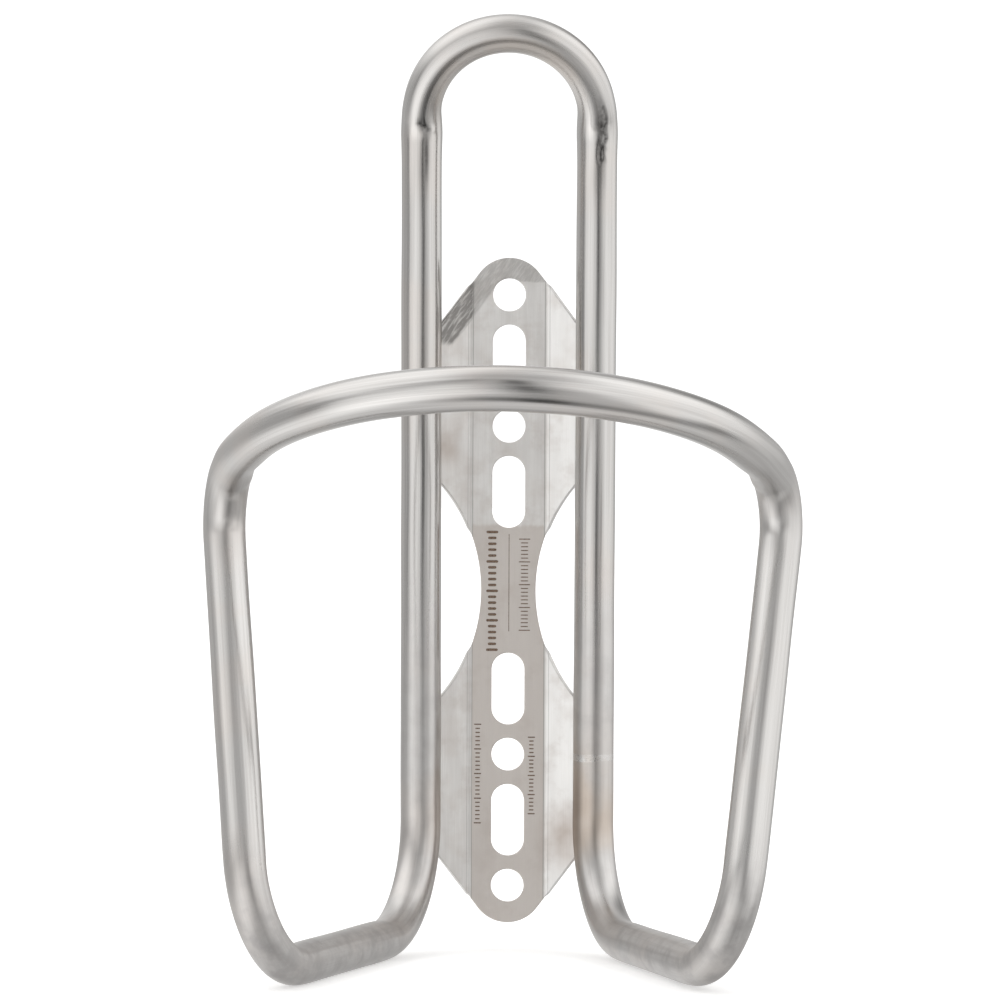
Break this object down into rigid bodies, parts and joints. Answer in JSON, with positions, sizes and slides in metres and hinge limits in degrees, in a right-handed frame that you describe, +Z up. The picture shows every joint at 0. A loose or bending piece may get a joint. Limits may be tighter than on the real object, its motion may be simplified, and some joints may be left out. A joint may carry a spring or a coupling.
{
  "type": "water bottle cage",
  "caption": "Bicycle water bottle cage: one satin titanium tube bent into a closed hoop with a leaning top loop, welded to a folded, slotted mounting plate.",
  "frame": {"origin": "middle of the mounting plate's flat rear face, which rests on the bicycle frame", "axes": "+Z up along the rails, +Y out of the rear face towards the bicycle frame, -Y towards the bottle, +X to the right seen from the bottle's side"},
  "size_m": [0.0894, 0.085, 0.1466],
  "materials": {
    "tube_titanium": "satin bare titanium, drawn lengthwise",
    "plate_titanium": "brushed bare titanium sheet",
    "weld_titanium": "bare weld metal with straw heat tint"
  },
  "bodies": {
    "root": {"frame_tube": "tube_titanium", "joint_plug": "tube_titanium", "joint_weld": "weld_titanium", "mounting_plate": "plate_titanium", "plate_weld_upper_left_outer": "weld_titanium", "plate_weld_upper_left_inner": "weld_titanium", "plate_weld_lower_left_outer": "weld_titanium", "plate_weld_lower_left_inner": "weld_titanium", "plate_weld_upper_right_outer": "weld_titanium", "plate_weld_upper_right_inner": "weld_titanium", "plate_weld_lower_right_outer": "weld_titanium", "plate_weld_lower_right_inner": "weld_titanium"}
  },
  "joints": []
}
